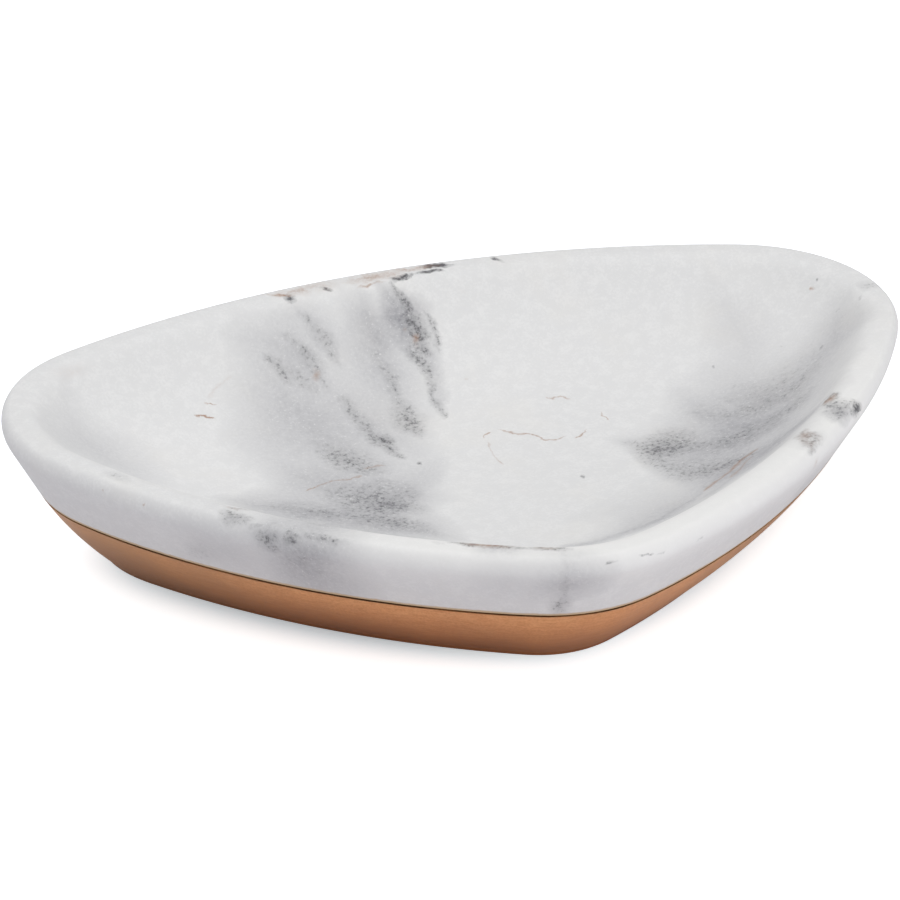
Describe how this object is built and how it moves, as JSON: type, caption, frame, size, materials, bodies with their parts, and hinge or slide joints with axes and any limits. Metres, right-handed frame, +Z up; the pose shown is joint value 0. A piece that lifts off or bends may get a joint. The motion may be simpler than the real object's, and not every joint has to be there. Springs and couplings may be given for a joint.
{
  "type": "soap dish",
  "caption": "Rounded three-sided soap dish: a carved marble bowl with a dished hollow, bonded flush into a thin copper-coloured cup on small round pads.",
  "frame": {"origin": "middle of the dish's plan box, on the surface that the dish stands on", "axes": "+X along the long back edge, +Y towards the back edge, -Y towards the apex, +Z up out of the bowl; mirrored across x = 0"},
  "size_m": [0.14, 0.0998, 0.0266],
  "materials": {
    "marble": "honed white marble with grey veins",
    "copper": "satin copper-coloured metal",
    "epoxy": "dark cured adhesive",
    "silicone": "matte grey silicone"
  },
  "bodies": {
    "root": {"marble_dish": "marble", "copper_base": "copper", "epoxy_bed": "epoxy", "epoxy_seam": "epoxy", "pad_left": "silicone", "pad_right": "silicone", "pad_front": "silicone"}
  },
  "joints": []
}
